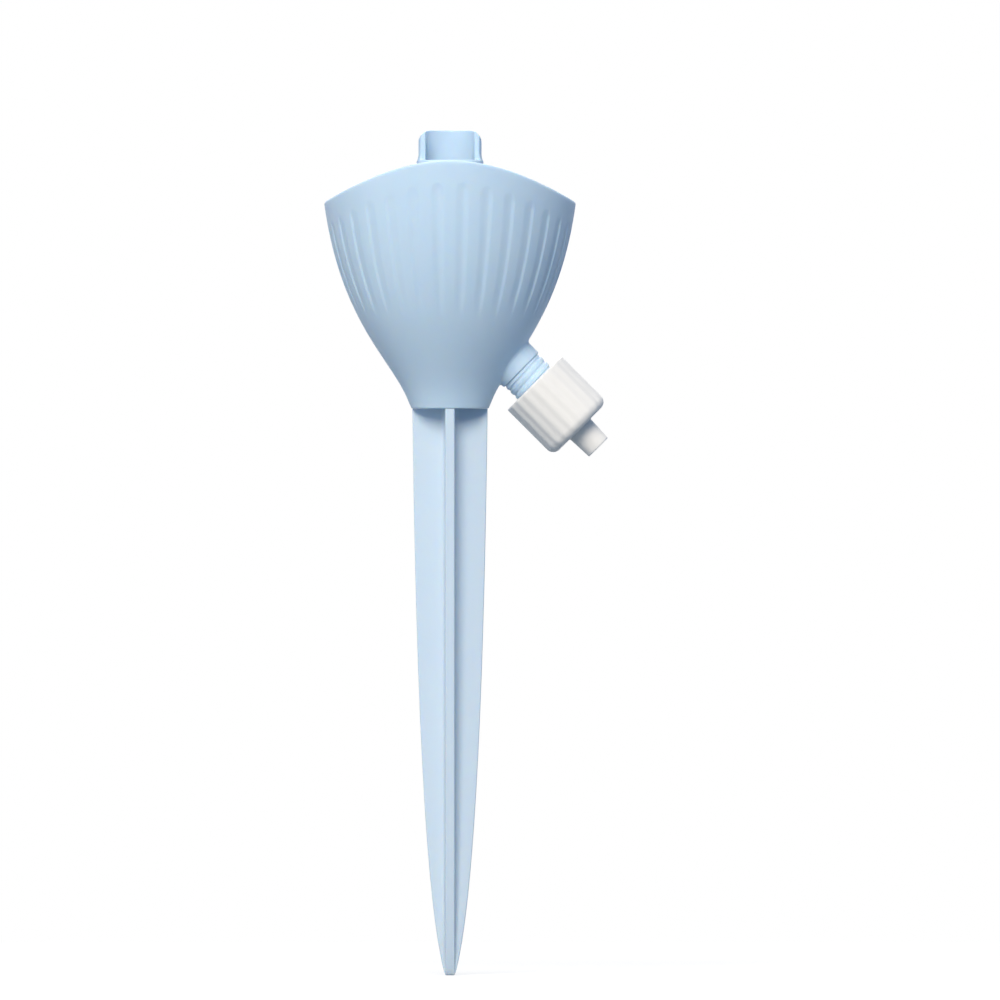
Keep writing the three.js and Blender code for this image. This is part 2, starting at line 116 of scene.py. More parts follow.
# Intake riser
RISER_R = 6.6
RISER_WALL = 1.0
RISER_BORE_R = RISER_R - RISER_WALL
RISER_OVER_CREST = 6.6
RISER_TOP_Z = CREST_Z + RISER_OVER_CREST
RISER_CORNER = 2.5
RISER_FLARE = 0.4
RISER_FLARE_HEIGHT = 1.8
RISER_FLANGE_R = 8.2
RISER_FLANGE = 1.5
RISER_TAIL = 1.2
RISER_EDGE_ROUND = 0.25
RISER_EDGE_ANGLE = math.radians(40)
RISER_WELD = 0.005  # points of its wall's grids that lie closer become one
WINDOW_CUT = 2.4  # from the axis forward to the window's plane
WINDOW_SILL = 0.35

# Drip valve, with distances along its axis from the bell's axis outward
BOSS_R = 5.15
BOSS_FILLET = 0.6
BOSS_LENGTH = 2.2
BOSS_EDGE_ROUND = 0.35
STEM_R = 3.3
STEM_END_ROUND = 0.3
STEM_BORE_R = 2.0
STEM_BORE_ROUND = 0.15
O_RING_SECTION = 0.65
THREAD_R = 4.8
THREAD_DEPTH = 0.22
THREAD_CREST = 0.2
THREAD_ROOT = 0.44
THREAD_LENGTH = 8.8
THREAD_END_ROUND = 0.5
THREAD_SKIN = 0.2  # how far under the thread's radius its relief still reaches
EXPOSED_THREAD = 3.5
MOUTH_R = 2.6
MOUTH_DEPTH = 5.0
MOUTH_ROUND = 0.2
PIN_R = 1.0
PIN_FOOT_ROUND = 0.1
PIN_WAIST_ROUND = 1.0
PIN_TIP_R = 0.5
PIN_TIP_ROUND = 0.3
PIN_REACH = 3.4
PIN_RIBS = 3
PIN_RIB_HALF = 0.45
WASHER_THICKNESS = 1.4
WASHER_BORE_R = 1.9
WASHER_ROUND = 0.2
CAP_R = 8.0
CAP_REAR_ROUND = 0.4
CAP_THREAD_DEPTH = 0.32
CAP_THREAD_CREST = 0.04
CAP_THREAD_ROOT = 0.22
CAP_THREAD_END = 0.5
CAP_RIBS = 20
CAP_RIB_DEPTH = 0.15
CAP_RIB_TURN = math.radians(6)
CAP_END_WALL = 3.3
CAP_CORNER = 1.8
CAP_FLOOR_ROUND = 0.3
NOZZLE_ROOT_R = 3.05
NOZZLE_ROOT_FILLET = 0.3
NOZZLE_TIP_R = 2.8
NOZZLE_TIP_ROUND = 0.25
NOZZLE_LENGTH = 5.45
NOZZLE_BORE_R = 1.5
NOZZLE_BORE_ROUND = 0.2

cap_turn = next(joint for joint in frame["joints"] if joint["name"] == "cap_turn")
cap_advance = next(joint for joint in frame["joints"] if joint["name"] == "cap_advance")
coupling = frame["record"]["behaviour"]["couplings"][0]
PITCH = FULL_TURN / coupling["ratio"] / MM
SHUT_TRAVEL = -cap_advance["range_m"][0] / MM
VALVE_AXIS = Vector(cap_turn["axis"])
VALVE_FRAME = np.array(
    Matrix.Translation(Vector(cap_turn["pos_m"]) / MM)
    @ Matrix.Rotation(math.atan2(VALVE_AXIS.x, VALVE_AXIS.z), 4, "Y")
)


# Curves and surfaces


def bezier(handles, count):
    """Points along one cubic curve."""
    t = np.linspace(0, 1, count)[:, None]
    a, b, c, d = (np.array(handle) for handle in handles)
    return (1 - t) ** 3 * a + 3 * (1 - t) ** 2 * t * b + 3 * (1 - t) * t**2 * c + t**3 * d


BELL_CURVE = bezier(BELL_OUTLINE, count=2000)


def bell_radius(z):
    return np.interp(z, BELL_CURVE[:, 1], BELL_CURVE[:, 0])


def saddle_height(x):
    """Height of the rim's hyperbolic ridge at a distance from its crest."""
    bend = RIM_CREST_R * RIM_FLANK_SLOPE
    return CREST_Z - RIM_FLANK_SLOPE * (np.hypot(bend, x) - bend)


def rim_height(theta):
    """Height at which the bell's outside meets the saddle, closed in on step by step."""
    z = np.full_like(theta, CREST_Z)
    for _ in range(30):
        z = saddle_height(bell_radius(z) * np.cos(theta))
    return z


def smooth_step(x):
    x = np.clip(x, 0, 1)
    return x * x * (3 - 2 * x)


def steps_to(start, end, count):
    """Even steps from start, which is left out, to end."""
    return np.linspace(start, end, count + 1)[1:]


def quarter_round(steps):
    """Pairs along a quarter round of radius 1: the first rises from 0 to 1 and the second falls to 0."""
    angle = np.linspace(0, math.pi / 2, steps + 1)
    return list(zip(1 - np.cos(angle), 1 - np.sin(angle)))


def round_angles(columns):
    return np.arange(columns) * FULL_TURN / columns


def polar(radius, theta, z):
    """Points at radii and angles about Z, and at heights."""
    radius, theta, z = np.broadcast_arrays(radius, theta, z)
    return np.stack([radius * np.cos(theta), radius * np.sin(theta), z], axis=-1)


def in_valve(points):
    """Places points of the valve's own frame, whose +Z runs out along its axis."""
    return points @ VALVE_FRAME[:3, :3].T + VALVE_FRAME[:3, 3]


def wall_distance(radius, theta, inset=0.0):
    """Distance along the valve's axis at which lines beside it meet the bell's outside, less inset. The
    stretch that holds it is halved again and again."""
    low = np.full_like(theta, 5.0)
    high = np.full_like(theta, 30.0)
    for _ in range(40):
        middle = (low + high) / 2
        point = in_valve(polar(radius, theta, middle))
        inside = np.hypot(point[..., 0], point[..., 1]) < bell_radius(point[..., 2]) - inset
        low = np.where(inside, middle, low)
        high = np.where(inside, high, middle)
    return low


def socket_seat():
    """Height at which the socket's outside meets the bell's inner wall."""
    z = np.linspace(BELL_FLOOR_Z, CREST_Z, num=20000)
    return z[np.argmax(bell_radius(z) - BELL_WALL >= SOCKET_R + SEAT_GAP)]


SOCKET_FLOOR_Z = socket_seat()
SOCKET_UNDER_Z = SOCKET_FLOOR_Z - SOCKET_FLOOR
FLANGE_TOP_Z = SOCKET_FLOOR_Z + RISER_FLANGE
WALL_S = float(wall_distance(radius=0.0, theta=np.zeros(1))[0])
STEM_END_S = WALL_S - BELL_WALL
BOSS_FACE_S = WALL_S + BOSS_LENGTH
SHOULDER_S = BOSS_FACE_S + SEAT_GAP
MOUTH_S = SHOULDER_S + THREAD_LENGTH
PIN_SEAT_S = MOUTH_S - MOUTH_DEPTH
CAP_REAR_S = SHOULDER_S + EXPOSED_THREAD
WASHER_REAR_S = MOUTH_S + SEAT_GAP + SHUT_TRAVEL
WASHER_FRONT_S = WASHER_REAR_S + WASHER_THICKNESS
CAP_INNER_S = WASHER_FRONT_S + SEAT_GAP
CAP_FRONT_S = CAP_INNER_S + CAP_END_WALL
NOZZLE_TIP_S = CAP_FRONT_S + NOZZLE_LENGTH
BORE_R = STEM_R + SEAT_GAP
GROOVE_R = BORE_R + O_RING_SECTION + SEAT_GAP
GROOVE_S = BOSS_FACE_S - O_RING_SECTION - SEAT_GAP
CAP_BORE_R = THREAD_R + SEAT_GAP


# Mesh building


def mesh_object(name, points, faces):
    """Makes an object from points in millimetres."""
    mesh = bpy.data.meshes.new(name)
    mesh.from_pydata((np.asarray(points) * MM).tolist(), [], faces)
    mesh.validate()
    piece = bpy.data.objects.new(name, mesh)
    bpy.context.scene.collection.objects.link(piece)
    return piece


def skin(name, rings, looped):
    """Skins rows of ring points. The last row joins the first if looped, or else fans close both ends."""
    rings = np.asarray(rings)
    rows, columns = rings.shape[:2]
    points = rings.reshape(-1, 3)
    faces = []
    for row in range(rows if looped else rows - 1):
        above = (row + 1) % rows
        for i in range(columns):
            j = (i + 1) % columns
            faces.append((row * columns + i, row * columns + j, above * columns + j, above * columns + i))
    if not looped:
        first, last = len(points), len(points) + 1
        points = np.vstack([points, rings[0].mean(axis=0), rings[-1].mean(axis=0)])
        for i in range(columns):
            j = (i + 1) % columns
            faces.append((first, j, i))
            faces.append((last, (rows - 1) * columns + i, (rows - 1) * columns + j))
    return mesh_object(name, points, faces)


def patchwork(name, patches):
    """Makes an object from grids of points. Each grid comes with whether its faces are turned over."""
    points, faces = [], []
    for grid, turned in patches:
        start = len(points)
        rows, columns = grid.shape[:2]
        points.extend(grid.reshape(-1, 3))
        for row in range(rows - 1):
            for i in range(columns - 1):
                corner = start + row * columns + i
                face = (corner, corner + 1, corner + columns + 1, corner + columns)
                faces.append(face[::-1] if turned else face)
    return mesh_object(name, points, faces)


def rounded(corners, steps=5):
    """Closed profile through (radius, height, fillet) corners, each rounded by its fillet."""
    profile = []
    for i, (radius, height, fillet) in enumerate(corners):
        corner = np.array([radius, height])
        if fillet == 0:
            profile.append(corner)
            continue
        back = np.array(corners[i - 1][:2]) - corner
        ahead = np.array(corners[(i + 1) % len(corners)][:2]) - corner
        back /= np.linalg.norm(back)
        ahead /= np.linalg.norm(ahead)
        half = math.acos(np.clip(back @ ahead, -1, 1)) / 2
        middle = back + ahead
        centre = corner + middle / np.linalg.norm(middle) * fillet / math.sin(half)
        start = corner + back * fillet / math.tan(half) - centre
        end = corner + ahead * fillet / math.tan(half) - centre
        first = math.atan2(start[1], start[0])
        sweep = (math.atan2(end[1], end[0]) - first + math.pi) % FULL_TURN - math.pi
        for k in range(steps + 1):
            angle = first + sweep * k / steps
            profile.append(centre + fillet * np.array([math.cos(angle), math.sin(angle)]))
    return np.array(profile)


def spaced(profile, step):
    """Adds points to a closed profile so that no stretch is longer than step."""
    points = []
    for here, there in zip(profile, np.roll(profile, -1, axis=0)):
        count = max(1, math.ceil(np.linalg.norm(there - here) / step))
        points.extend(here + (there - here) * k / count for k in range(count))
    return np.array(points)


def revolve(profile, columns, relief=None):
    """Rings of a profile turned about Z. relief(theta, radius, height) is added to the radius."""
    theta = round_angles(columns)
    rings = []
    for radius, height in profile:
        raised = 0.0 if relief is None else relief(theta, radius, height)
        rings.append(polar(radius + raised, theta, height))
    return np.array(rings)


def rod(name, radius, low, high, fillet=0.0):
    """Solid rod about Z, with the edges of both ends rounded by fillet."""
    corners = [(0.0, low, 0.0), (radius, low, fillet), (radius, high, fillet), (0.0, high, 0.0)]
    return skin(name, revolve(rounded(corners)[1:-1], columns=96), looped=False)


def thread(theta, height, low, high, pitch, crest, root):
    """Right-hand thread between two heights, from 0 in its valley to 1 on its crest. It runs out over half
    a pitch at both ends."""
    phase = (height / pitch - theta / FULL_TURN) % 1.0
    ridge = smooth_step((root - np.abs(phase - 0.5)) / (root - crest))
    run_out = pitch / 2
    return ridge * smooth_step((height - low) / run_out) * smooth_step((high - height) / run_out)


def settle(piece):
    """Applies the piece's modifiers to its mesh."""
    graph = bpy.context.evaluated_depsgraph_get()
    rough = piece.data
    settled = bpy.data.meshes.new_from_object(piece.evaluated_get(graph))
    piece.modifiers.clear()
    piece.data = settled
    bpy.data.meshes.remove(rough)


def combine(piece, tool, operation):
    """Joins or cuts the piece with a tool object, which is then gone."""
    boolean = piece.modifiers.new("combine", "BOOLEAN")
    boolean.operation = operation
    boolean.solver = "MANIFOLD"
    boolean.object = tool
    settle(piece)
    bpy.data.objects.remove(tool)


def finish_piece(piece, node, body, material):
    """Smooths the piece's faces, gives it its finish and puts it in place of its node."""
    piece.data.polygons.foreach_set("use_smooth", [True] * len(piece.data.polygons))
    piece.data.set_sharp_from_angle(angle=CREASE)
    piece.modifiers.new("even_normals", "WEIGHTED_NORMAL").keep_sharp = True
    settle(piece)
    piece.data.materials.clear()
    piece.data.materials.append(material)
    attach(piece, body)
    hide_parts(node)


# Finishes

POLYMER_IOR = 1.49
GLOSS_LEVEL = 0.15
GLOSS_SPREAD = 0.06
GRAIN_DEPTH = 0.02


def linear(hex_colour):
    """Scene colour of an sRGB hex colour."""
    channels = [int(hex_colour[i : i + 2], 16) / 255 for i in (0, 2, 4)]
    return [c / 12.92 if c <= 0.04045 else ((c + 0.055) / 1.055) ** 2.4 for c in channels] + [1.0]


def noise(nodes, links, scale, stretch, detail):
    """Noise in the object's own space, stretched along Z."""
    place = nodes.new("ShaderNodeTexCoord")
    mapping = nodes.new("ShaderNodeMapping")
    mapping.inputs["Scale"].default_value = (1, 1, stretch)
    texture = nodes.new("ShaderNodeTexNoise")
    texture.inputs["Scale"].default_value = scale
    texture.inputs["Detail"].default_value = detail
    links.new(place.outputs["Object"], mapping.inputs["Vector"])
    links.new(mapping.outputs["Vector"], texture.inputs["Vector"])
    return texture.outputs["Fac"]


def moulded(name, pale, deep, roughness, grain, subsurface, depths):
    """Moulded polymer: slow flow streaks in its colour, uneven gloss and a fine spark-eroded grain."""
    material = bpy.data.materials.new(name)
    material.use_nodes = True
    nodes, links = material.node_tree.nodes, material.node_tree.links
    shader = nodes["Principled BSDF"]
    streaks = noise(nodes, links, scale=90, stretch=0.2, detail=3)
    tint = nodes.new("ShaderNodeMix")
    tint.data_type = "RGBA"
    tint.inputs["A"].default_value = linear(deep)
    tint.inputs["B"].default_value = linear(pale)
    links.new(streaks, tint.inputs["Factor"])
    links.new(tint.outputs["Result"], shader.inputs["Base Color"])
    gloss = nodes.new("ShaderNodeMapRange")
    gloss.inputs["To Min"].default_value = roughness - GLOSS_SPREAD
    gloss.inputs["To Max"].default_value = roughness + GLOSS_SPREAD
    links.new(noise(nodes, links, scale=600, stretch=1.0, detail=4), gloss.inputs["Value"])
    links.new(gloss.outputs["Result"], shader.inputs["Roughness"])
    bump = nodes.new("ShaderNodeBump")
    bump.inputs["Strength"].default_value = grain
    bump.inputs["Distance"].default_value = GRAIN_DEPTH * MM
    links.new(noise(nodes, links, scale=3500, stretch=1.0, detail=2), bump.inputs["Height"])
    links.new(bump.outputs["Normal"], shader.inputs["Normal"])
    shader.inputs["IOR"].default_value = POLYMER_IOR
    shader.inputs["Specular IOR Level"].default_value = GLOSS_LEVEL
    shader.inputs["Subsurface Weight"].default_value = subsurface
    shader.inputs["Subsurface Radius"].default_value = depths
    shader.inputs["Subsurface Scale"].default_value = MM
    return material


def blue_plastic(name, pale, deep):
    """Pale blue polymer, in which blue light travels further than red."""
    depths = (0.2, 0.3, 0.45)
    return moulded(name, pale, deep, roughness=0.5, grain=0.25, subsurface=0.6, depths=depths)


BLUE = blue_plastic("blue_plastic", pale="c7def0", deep="c1d9ed")
# A paler copy of the same blue for the spike: painted light, standing in for how pale its lit fins look.
# Its plastic is the bell's.
SPIKE_PAINTED_LIT_BLUE = blue_plastic("spike_painted_lit_blue_plastic", pale="ccddeb", deep="c7d8e8")
WHITE = moulded(
    "white_plastic", pale="e9e8e6", deep="e6e5e3", roughness=0.44, grain=0.25, subsurface=0.5,
    depths=(1.2, 1.2, 1.2),
)
SILICONE = moulded(
    "silicone", pale="d9dcdb", deep="d0d3d2", roughness=0.6, grain=0.15, subsurface=0.6,
    depths=(0.6, 0.6, 0.6),
)


# Spike and bell


def fin_section(reach):
    """Cross of four fins with rounded edges and filleted roots."""
    edge = min(FIN_EDGE_ROUND, FIN_EDGE_SHARE * (reach - FIN_HALF))
    fillet = min(FIN_ROOT_FILLET, FIN_FILLET_SHARE * (reach - FIN_HALF - edge))
    arcs = [
        (reach - edge, edge - FIN_HALF, edge, -90, 0),
        (reach - edge, FIN_HALF - edge, edge, 0, 90),
        (FIN_HALF + fillet, FIN_HALF + fillet, fillet, 270, 180),
    ]
    arm = []
    for x, y, radius, start, end in arcs:
        angle = np.radians(np.linspace(start, end, num=6))
        arm.append(np.stack([x + radius * np.cos(angle), y + radius * np.sin(angle)], axis=-1))
    arm = np.vstack(arm)
    quarter = np.array([[0.0, 1.0], [-1.0, 0.0]])
    return np.vstack([arm @ np.linalg.matrix_power(quarter, turn) for turn in range(4)])


def make_ground_spike():
    """Fins that taper from the bell's foot to a blunt tip, with a plug on top."""

    def ring(section, z):
        return np.column_stack([section, np.full(len(section), z)])

    tip_reach, top_reach = FIN_EDGE[0][0], FIN_EDGE[-1][0]
    shoulder_z = FOOT_Z - SEEN_GAP
    rings = []
    for rise, inset in quarter_round(steps=4):
        narrowed = 1 - TIP_ROUND / tip_reach * inset
        rings.append(ring(fin_section(tip_reach) * narrowed, TIP_ROUND * rise))
    for reach, z in bezier(FIN_EDGE, count=70):
        if z > TIP_ROUND:
            rings.append(ring(fin_section(reach), z))
    rings.append(ring(fin_section(top_reach), shoulder_z))
    spike = skin("ground_spike_moulding", rings, looped=False)
    plug = rod("plug", PLUG_R, shoulder_z - 2 * SEEN_GAP, PLUG_TOP_Z, PLUG_EDGE_ROUND)
    combine(spike, plug, "UNION")
    # The spike takes the paler copy of the blue: painted light for its lit fins.
    finish_piece(spike, "ground_spike", "holder", SPIKE_PAINTED_LIT_BLUE)


def flute_columns():
    """Angle of each column of the bell, and its distance from the deepest line of its groove, which is 1 at
    the groove's edges. That line lies toward the parting line of the mould's front and back halves."""
    pitch = FULL_TURN / FLUTE_COUNT
    half = FLUTE_SHARE / 2 * pitch
    slope = np.linspace(1, 0, num=9)
    land = half + (1 - FLUTE_SHARE) * pitch * np.array([0.25, 0.5, 0.75])
    across = np.concatenate([slope, slope[-2::-1], np.ones(len(land))])
    theta = []
    for middle in (np.arange(FLUTE_COUNT) + 0.5) * pitch:
        lean = -FLUTE_LEAN * math.cos(middle) * math.copysign(1, math.sin(middle))
        near = half * (lean - (1 + lean) * slope)
        far = half * (lean + (1 - lean) * slope[-2::-1])
        theta.append(middle + np.concatenate([near, far, land]))
    return np.concatenate(theta), np.tile(across, FLUTE_COUNT)


def groove_depth(across, z, rim):
    """Depth of the grooves, with soft edges and round tops, running out toward the foot."""
    over_top = np.maximum(0, z - (rim - FLUTE_BAND - FLUTE_ROUND)) / FLUTE_ROUND
    reach = np.minimum(1, np.hypot(across, over_top))
    bowl = np.cos(reach * math.pi / 2) ** 2
    return FLUTE_DEPTH * bowl * smooth_step((z - FLUTE_FOOT_Z) / FLUTE_FADE)


def bell_rings():
    """Rows of the fluted shell: up the outside, over the saddle lip and down the inside."""
    theta, across = flute_columns()
    rim = rim_height(theta)
    groove_end = rim - FLUTE_BAND

    def outside(z):
        return polar(bell_radius(z) - groove_depth(across, z, rim), theta, z)

    def inside(z):
        return polar(bell_radius(z) - BELL_WALL, theta, z)

    def lip(radius, drop):
        return polar(radius, theta, saddle_height(radius * np.cos(theta)) - drop)

    rows = []
    for rise, inset in quarter_round(steps=4):
        rows.append(polar(FOOT_R - FOOT_ROUND * inset, theta, FOOT_Z + FOOT_ROUND * rise))
    for z in steps_to(FOOT_Z + FOOT_ROUND, FLUTE_FOOT_Z, count=23):
        rows.append(outside(z))
    for share in steps_to(0, 1, count=33):
        rows.append(outside(FLUTE_FOOT_Z + share * (groove_end - FLUTE_ROUND - FLUTE_FOOT_Z)))
    for drop in steps_to(FLUTE_ROUND, 0, count=15):
        rows.append(outside(groove_end - drop))
    for share in steps_to(0, 1, count=5):
        rows.append(outside(groove_end + share * (FLUTE_BAND - LIP_ROUND)))
    outer_base = bell_radius(rim - LIP_ROUND)
    inner_base = outer_base - BELL_WALL
    lip_round = quarter_round(steps=5)
    for inset, drop in lip_round[1:]:
        rows.append(lip(outer_base - LIP_ROUND * inset, LIP_ROUND * drop))
    for inset, drop in reversed(lip_round):
        rows.append(lip(inner_base + LIP_ROUND * inset, LIP_ROUND * drop))
    inner_rim = saddle_height(inner_base * np.cos(theta)) - LIP_ROUND
    for share in steps_to(0, 1, count=19):
        rows.append(inside(inner_rim + share * (FLUTE_FOOT_Z - inner_rim)))
    for z in steps_to(FLUTE_FOOT_Z, BELL_FLOOR_Z, count=13):
        rows.append(inside(z))
    return rows


def boss_rings():
    """Valve boss with a filleted root that starts in the middle of the bell's wall."""
    theta = round_angles(columns=128)

    def at_wall(radius, lift, inset=0.0):
        return polar(radius, theta, wall_distance(radius, theta, inset) + lift)

    rows = [at_wall(BOSS_R + BOSS_FILLET, lift=0.0, inset=BELL_WALL / 2)]
    for rise, spread in quarter_round(steps=7):
        rows.append(at_wall(BOSS_R + BOSS_FILLET * spread, BOSS_FILLET * rise))
    for inset, drop in quarter_round(steps=4):
        rows.append(polar(BOSS_R - BOSS_EDGE_ROUND * inset, theta, BOSS_FACE_S - BOSS_EDGE_ROUND * drop))
    return in_valve(np.array(rows))


def make_bell_cup():
    """Fluted shell with the valve's boss outside, and inside the boss that takes the spike's plug."""
    plug_bore_r = PLUG_R + SEAT_GAP
    plug_bore_top = PLUG_TOP_Z + SEAT_GAP
    boss_r = plug_bore_r + PLUG_BOSS_WALL
    boss_top = plug_bore_top + PLUG_BOSS_COVER
    valve_bore = [
        (BORE_R, STEM_END_S - 2 * BELL_WALL),
        (BORE_R, GROOVE_S),
        (GROOVE_R, GROOVE_S),
        (GROOVE_R, BOSS_FACE_S + OVERCUT),
    ]
    bell = skin("bell_cup_moulding", bell_rings(), looped=False)
    plug_boss = rod("plug_boss", boss_r, BELL_FLOOR_Z - OVERCUT, boss_top, PLUG_BOSS_ROUND)
    combine(bell, plug_boss, "UNION")
    combine(bell, skin("valve_boss", boss_rings(), looped=False), "UNION")
    combine(bell, rod("plug_bore", plug_bore_r, FOOT_Z - OVERCUT, plug_bore_top), "DIFFERENCE")
    valve_rings = in_valve(revolve(valve_bore, columns=96))
    combine(bell, skin("valve_bore", valve_rings, looped=False), "DIFFERENCE")
    finish_piece(bell, "bell_cup", "holder", BLUE)


# Bottle seat


def make_bottle_socket():
    """Threaded cup for the bottle's neck, with a hole in its floor for the riser."""
    mouth_z = SOCKET_FLOOR_Z + SOCKET_DEPTH
    hole_r = RISER_R + SEAT_GAP
    under_r = bell_radius(SOCKET_UNDER_Z) - BELL_WALL - SEAT_GAP
    profile = rounded(
        [
            (hole_r, SOCKET_UNDER_Z, SOCKET_HOLE_ROUND),
            (under_r, SOCKET_UNDER_Z, SOCKET_UNDER_ROUND),
            (SOCKET_R, SOCKET_FLOOR_Z, SOCKET_ROUND),
            (SOCKET_R, mouth_z, SOCKET_ROUND),
            (NECK_BORE_R, mouth_z, SOCKET_MOUTH_ROUND),
            (NECK_BORE_R, SOCKET_FLOOR_Z, SOCKET_ROUND),
            (hole_r, SOCKET_FLOOR_Z, SOCKET_HOLE_ROUND),
        ]
    )

    def relief(theta, radius, height):
        if abs(radius - NECK_BORE_R) > SAME:
            return 0.0
        low = SOCKET_FLOOR_Z + NECK_THREAD_FOOT
        high = mouth_z - NECK_THREAD_TOP
        return -NECK_THREAD * thread(theta, height, low, high, NECK_PITCH, NECK_CREST, NECK_ROOT)

    rings = revolve(spaced(profile, step=0.2), columns=160, relief=relief)
    socket = skin("bottle_socket_moulding", rings, looped=True)
    finish_piece(socket, "bottle_socket", "holder", BLUE)


def make_seal(name, rings, node, body):
    """Soft ring from closed rows of points."""
    seal = skin(name, rings, looped=True)
    finish_piece(seal, node, body, SILICONE)


def make_bottle_gasket():
    inner_r = RISER_FLANGE_R + SEAT_GAP
    outer_r = NECK_BORE_R - SEAT_GAP
    top_z = SOCKET_FLOOR_Z + GASKET_THICKNESS
    corners = [
        (inner_r, SOCKET_FLOOR_Z, GASKET_UNDER_ROUND),
        (outer_r, SOCKET_FLOOR_Z, GASKET_UNDER_ROUND),
        (outer_r, top_z, GASKET_TOP_ROUND),
        (inner_r, top_z, GASKET_TOP_ROUND),
    ]
    make_seal("bottle_gasket_ring", revolve(rounded(corners), columns=128), "bottle_gasket", "holder")


def riser_top(x):
    """Height of the riser's top edge, with its corners rounded in the front view."""
    over = np.maximum(0, np.abs(x) - (RISER_R - RISER_CORNER))
    return RISER_TOP_Z - RISER_CORNER + np.sqrt(np.maximum(0, RISER_CORNER**2 - over**2))


def riser_flare(z):
    """Widening of the riser's outside from over the rim's crest down to the flange."""
    return RISER_FLARE * (1 - np.clip((z - CREST_Z) / RISER_FLARE_HEIGHT, 0, 1)) ** 2


def riser_wall(radius, low_profile, widening):
    """Grids of one side of the riser's wall, all round below the window's sill and round the back above it,
    and the sill's row of points."""
    sill_z = CREST_Z + WINDOW_SILL
    edge = math.asin(WINDOW_CUT / radius)
    back = np.linspace(-edge, math.pi + edge, num=90)
    front = steps_to(math.pi + edge, FULL_TURN - edge, count=49)
    around = np.concatenate([back, front])
    lower = np.array([polar(r, around, z) for r, z in [*low_profile, (radius + widening(sill_z), sill_z)]])
    top = riser_top(radius * np.cos(back))
    heights = [sill_z + rise * (top - sill_z) for rise in np.linspace(0, 1, num=24)]
    upper = np.array([polar(radius + widening(z), back, z) for z in heights])
    return lower, upper, lower[-1, len(back) - 1 :]


def make_intake_riser():
    """Tube on a flange. Each column of its wall runs up to the window's sill or to the top."""
    tail_z = SOCKET_UNDER_Z - RISER_TAIL
    outside = [
        (RISER_R, tail_z),
        (RISER_R, SOCKET_FLOOR_Z),
        (RISER_FLANGE_R, SOCKET_FLOOR_Z),
        (RISER_FLANGE_R, FLANGE_TOP_Z),
        (RISER_R + RISER_FLARE, FLANGE_TOP_Z),
        (RISER_R + RISER_FLARE, CREST_Z),
    ]
    outer_low, outer_up, outer_sill = riser_wall(RISER_R, outside, riser_flare)
    inner_low, inner_up, inner_sill = riser_wall(RISER_BORE_R, [(RISER_BORE_R, tail_z)], np.zeros_like)
    patches = [
        (outer_low, False),
        (outer_up, False),
        (inner_low, True),
        (inner_up, True),
        (np.array([inner_low[0], outer_low[0]]), False),
        (np.array([outer_up[-1], inner_up[-1]]), False),
        (np.array([outer_sill, inner_sill]), False),
        (np.array([inner_up[:, 0], outer_up[:, 0]]), True),
        (np.array([outer_up[:, -1], inner_up[:, -1]]), True),
    ]
    riser = patchwork("intake_riser_moulding", patches)
    weld = riser.modifiers.new("weld", "WELD")
    weld.merge_threshold = RISER_WELD * MM
    edge_round = riser.modifiers.new("edge_round", "BEVEL")
    edge_round.width = RISER_EDGE_ROUND * MM
    edge_round.segments = 3
    edge_round.angle_limit = RISER_EDGE_ANGLE
    settle(riser)
    finish_piece(riser, "intake_riser", "holder", BLUE)


# Drip valve


def make_drip_spigot():
    """Threaded nipple with a stem that goes into the bell's boss. Half its thread's depth lies over
    THREAD_R and half under."""
    shoulder_s = BOSS_FACE_S + TIGHT_GAP
    profile = rounded(
        [
            (STEM_BORE_R, STEM_END_S, STEM_BORE_ROUND),
            (STEM_R, STEM_END_S, STEM_END_ROUND),
            (STEM_R, shoulder_s, 0.0),
            (THREAD_R, shoulder_s, 0.0),
            (THREAD_R, MOUTH_S, THREAD_END_ROUND),
            (MOUTH_R, MOUTH_S, MOUTH_ROUND),
            (MOUTH_R, PIN_SEAT_S, 0.0),
            (STEM_BORE_R, PIN_SEAT_S, MOUTH_ROUND),
        ]
    )

    def relief(theta, radius, height):
        if radius < THREAD_R - THREAD_SKIN:
            return 0.0
        ridge = thread(theta, height, shoulder_s, MOUTH_S, PITCH, THREAD_CREST, THREAD_ROOT)
        return THREAD_DEPTH * (ridge - 0.5)

    rings = revolve(spaced(profile, step=0.1), columns=128, relief=relief)
    spigot = skin("drip_spigot_moulding", in_valve(rings), looped=True)
    finish_piece(spigot, "drip_spigot", "holder", BLUE)


def make_spigot_o_ring():
    half = O_RING_SECTION / 2
    angle = round_angles(columns=24)
    middle_s = GROOVE_S + SEAT_GAP + half
    section = np.stack([BORE_R + half + half * np.cos(angle), middle_s + half * np.sin(angle)], axis=-1)
    make_seal("spigot_o_ring_seal", in_valve(revolve(section, columns=96)), "spigot_o_ring", "holder")


def make_metering_pin():
    """Tapered needle that stands on ribs in the nipple's mouth."""
    foot_s = PIN_SEAT_S + SEAT_GAP
    tip_s = MOUTH_S + PIN_REACH
    needle = rounded(
        [
            (0.0, foot_s, 0.0),
            (PIN_R, foot_s, PIN_FOOT_ROUND),
            (PIN_R, MOUTH_S, PIN_WAIST_ROUND),
            (PIN_TIP_R, tip_s, PIN_TIP_ROUND),
            (0.0, tip_s, 0.0),
        ]
    )[1:-1]
    pin = skin("metering_pin_moulding", in_valve(revolve(needle, columns=64)), looped=False)
    reach = MOUTH_R - SEAT_GAP
    rib_top = MOUTH_S - SEAT_GAP
    corners = [(0, -PIN_RIB_HALF), (reach, -PIN_RIB_HALF), (reach, PIN_RIB_HALF), (0, PIN_RIB_HALF)]
    for angle in round_angles(PIN_RIBS):
        along = np.array([math.cos(angle), math.sin(angle)])
        across = np.array([-along[1], along[0]])
        plan = [along * x + across * y for x, y in corners]
        rings = np.array([[(*corner, s) for corner in plan] for s in (foot_s, rib_top)])
        combine(pin, skin("rib", in_valve(rings), looped=False), "UNION")
    finish_piece(pin, "metering_pin", "holder", WHITE)


